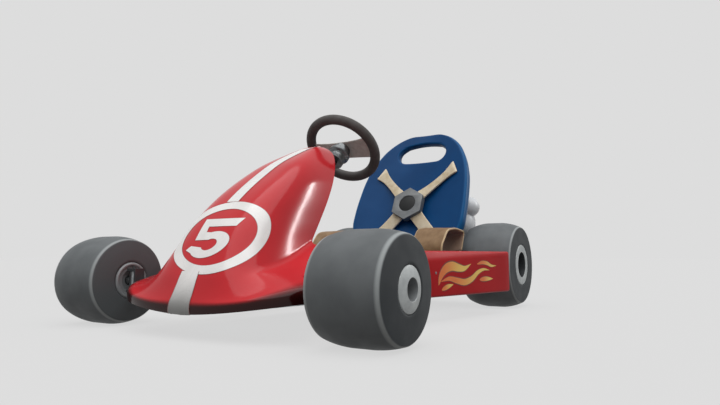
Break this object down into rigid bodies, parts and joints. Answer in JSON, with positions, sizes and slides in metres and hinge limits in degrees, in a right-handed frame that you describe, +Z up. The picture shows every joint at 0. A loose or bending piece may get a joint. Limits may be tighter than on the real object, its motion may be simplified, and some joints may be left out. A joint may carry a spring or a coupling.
{
  "type": "racing kart",
  "caption": "Low racing kart with a tube frame, pointed nose cowl, side pods, bucket seat with harness, steering wheel, slick tyres and a chain-driven rear axle.",
  "frame": {"origin": "on the ground, under the middle of the kart's length and width", "axes": "+Z up, the kart faces -Y, and its own left side is +X"},
  "size_m": [1.108, 1.4556, 0.7255],
  "materials": {
    "red_bodywork": "glossy moulded red",
    "tyre_rubber": "smooth slick rubber",
    "wheel_alloy": "satin light grey",
    "frame_paint": "dark grey paint",
    "plain_steel": "plain satin steel",
    "steering_grip": "dark padded grip",
    "steering_spoke": "satin warm grey",
    "seat_blue": "moulded blue",
    "harness_webbing": "beige webbing",
    "thigh_leather": "tan leather",
    "buckle_alloy": "satin grey",
    "black_plastic": "dull black",
    "silencer_white": "moulded white",
    "engine_alloy": "cast satin",
    "tray_alloy": "brushed sheet",
    "tank_plastic": "moulded cream",
    "chain_steel": "oiled dark steel"
  },
  "bodies": {
    "chassis": {"nose_cowl": "red_bodywork", "side_pod_left": "red_bodywork", "side_pod_right": "red_bodywork", "chassis_frame": "frame_paint", "front_axle_beam": "frame_paint", "front_bumper": "frame_paint", "rear_bumper": "frame_paint", "side_bar_left": "frame_paint", "side_bar_right": "frame_paint", "steering_support": "frame_paint", "column_bearing_upper": "frame_paint", "column_bearing_lower": "frame_paint", "axle_bearing_left": "frame_paint", "axle_bearing_right": "frame_paint", "brake_caliper": "frame_paint", "chain_guard": "frame_paint", "engine_plate": "frame_paint", "pedal_pivot_rod": "plain_steel", "muffler": "plain_steel", "seat_stay_left": "plain_steel", "seat_stay_right": "plain_steel", "seat_shell": "seat_blue", "harness_upper_left": "harness_webbing", "harness_upper_right": "harness_webbing", "harness_lower_left": "harness_webbing", "harness_lower_right": "harness_webbing", "thigh_strap_left": "thigh_leather", "thigh_strap_right": "thigh_leather", "buckle_body": "buckle_alloy", "spark_plug": "black_plastic", "throttle_cable": "black_plastic", "brake_cable": "black_plastic", "intake_silencer": "silencer_white", "engine_block": "engine_alloy", "floor_tray": "tray_alloy", "fuel_tank": "tank_plastic", "drive_chain": "chain_steel"},
    "steering": {"steering_rim": "steering_grip", "steering_spokes": "steering_spoke", "steering_hub": "plain_steel", "steering_shaft": "black_plastic"},
    "knuckle_left": {"knuckle_left": "plain_steel"},
    "knuckle_right": {"knuckle_right": "plain_steel"},
    "tie_rod_left": {"tie_rod_left": "plain_steel"},
    "tie_rod_right": {"tie_rod_right": "plain_steel"},
    "front_wheel_left": {"front_tyre_left": "tyre_rubber", "front_wheel_hub_left": "wheel_alloy"},
    "front_wheel_right": {"front_tyre_right": "tyre_rubber", "front_wheel_hub_right": "wheel_alloy"},
    "rear_axle": {"rear_axle": "plain_steel", "rear_tyre_left": "tyre_rubber", "rear_tyre_right": "tyre_rubber", "rear_wheel_hub_left": "wheel_alloy", "rear_wheel_hub_right": "wheel_alloy", "axle_sprocket": "plain_steel", "brake_disc": "plain_steel"},
    "clutch_drum": {"clutch_drum": "plain_steel"},
    "throttle_pedal": {"throttle_pedal": "plain_steel"},
    "brake_pedal": {"brake_pedal": "plain_steel"},
    "buckle_button": {"buckle_button": "black_plastic"}
  },
  "joints": [
    {"name": "steering_turn", "type": "hinge", "parent": "chassis", "child": "steering", "pos_m": [0, -0.03475, 0.564], "axis": [0, 0.7071, 0.7071], "range_deg": [-60, 60]},
    {"name": "knuckle_left_turn", "type": "hinge", "parent": "chassis", "child": "knuckle_left", "pos_m": [0.3365, -0.60075, 0.127], "axis": [0, 0, 1], "range_deg": [-18, 18]},
    {"name": "knuckle_right_turn", "type": "hinge", "parent": "chassis", "child": "knuckle_right", "pos_m": [-0.3365, -0.60075, 0.127], "axis": [0, 0, 1], "range_deg": [-18, 18]},
    {"name": "tie_rod_left_turn", "type": "hinge", "parent": "knuckle_left", "child": "tie_rod_left", "pos_m": [0.3365, -0.48075, 0.1185], "axis": [0, 0, 1], "range_deg": [-18, 18]},
    {"name": "tie_rod_right_turn", "type": "hinge", "parent": "knuckle_right", "child": "tie_rod_right", "pos_m": [-0.3365, -0.48075, 0.1185], "axis": [0, 0, 1], "range_deg": [-18, 18]},
    {"name": "front_wheel_left_roll", "type": "hinge", "parent": "knuckle_left", "child": "front_wheel_left", "pos_m": [0.448, -0.60075, 0.127], "axis": [1, 0, 0], "continuous": true},
    {"name": "front_wheel_right_roll", "type": "hinge", "parent": "knuckle_right", "child": "front_wheel_right", "pos_m": [-0.448, -0.60075, 0.127], "axis": [1, 0, 0], "continuous": true},
    {"name": "rear_axle_roll", "type": "hinge", "parent": "chassis", "child": "rear_axle", "pos_m": [0, 0.56425, 0.1635], "axis": [1, 0, 0], "continuous": true},
    {"name": "clutch_drum_spin", "type": "hinge", "parent": "chassis", "child": "clutch_drum", "pos_m": [-0.2155, 0.63725, 0.285], "axis": [1, 0, 0], "continuous": true},
    {"name": "throttle_pedal_press", "type": "hinge", "parent": "chassis", "child": "throttle_pedal", "pos_m": [-0.095, -0.55575, 0.09], "axis": [1, 0, 0], "range_deg": [0, 22], "stiffness_Nm_per_rad": 3, "springref_deg": -14.32},
    {"name": "brake_pedal_press", "type": "hinge", "parent": "chassis", "child": "brake_pedal", "pos_m": [0.095, -0.55575, 0.09], "axis": [1, 0, 0], "range_deg": [0, 22], "stiffness_Nm_per_rad": 3, "springref_deg": -14.32},
    {"name": "buckle_button_press", "type": "slide", "parent": "chassis", "child": "buckle_button", "axis": [0, -0.91, 0.4147], "range_m": [-0.004, 0], "stiffness_N_per_m": 400, "springref_m": 0.002}
  ],
  "couplings": [
    {"joint": "knuckle_left_turn", "follows": "steering_turn", "ratio": 0.3},
    {"joint": "knuckle_right_turn", "follows": "steering_turn", "ratio": 0.3},
    {"joint": "tie_rod_left_turn", "follows": "steering_turn", "ratio": -0.3},
    {"joint": "tie_rod_right_turn", "follows": "steering_turn", "ratio": -0.3},
    {"joint": "clutch_drum_spin", "follows": "rear_axle_roll", "ratio": 3.75}
  ]
}
